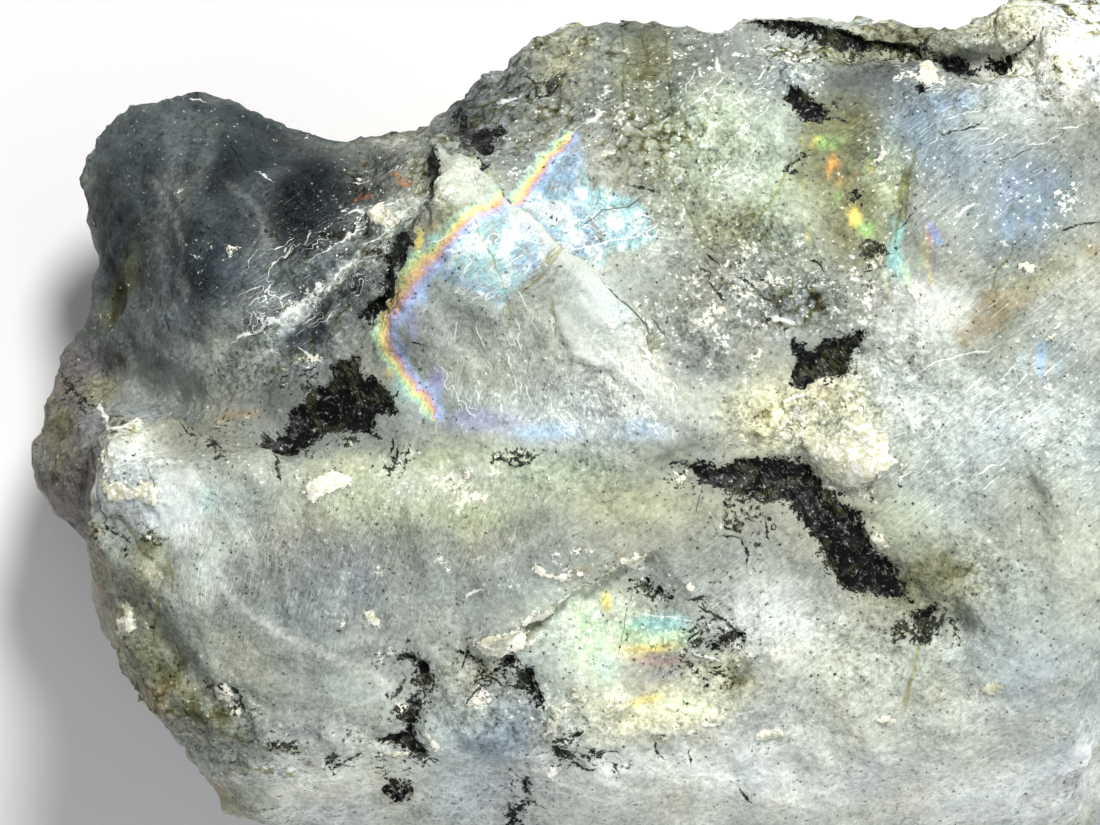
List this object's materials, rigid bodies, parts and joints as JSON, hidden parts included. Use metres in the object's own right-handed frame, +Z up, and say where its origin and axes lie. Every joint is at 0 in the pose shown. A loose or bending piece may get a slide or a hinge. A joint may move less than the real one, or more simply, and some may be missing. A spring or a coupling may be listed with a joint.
{
  "type": "rough labradorite chunk",
  "caption": "Rough broken lump of iridescent grey-green feldspar with ledges, dark mineral patches and a flat cleavage face it rests on.",
  "frame": {"origin": "centre of the bounding box's plan, on the cleavage face that the stone rests on", "axes": "+X along the chunk, away from its dark lobe; +Y across it; +Z up from the resting face"},
  "size_m": [0.1199, 0.0949, 0.0506],
  "materials": {
    "labradorite": "broken stone with a vitreous lustre"
  },
  "bodies": {
    "root": {"labradorite_chunk": "labradorite"}
  },
  "joints": []
}
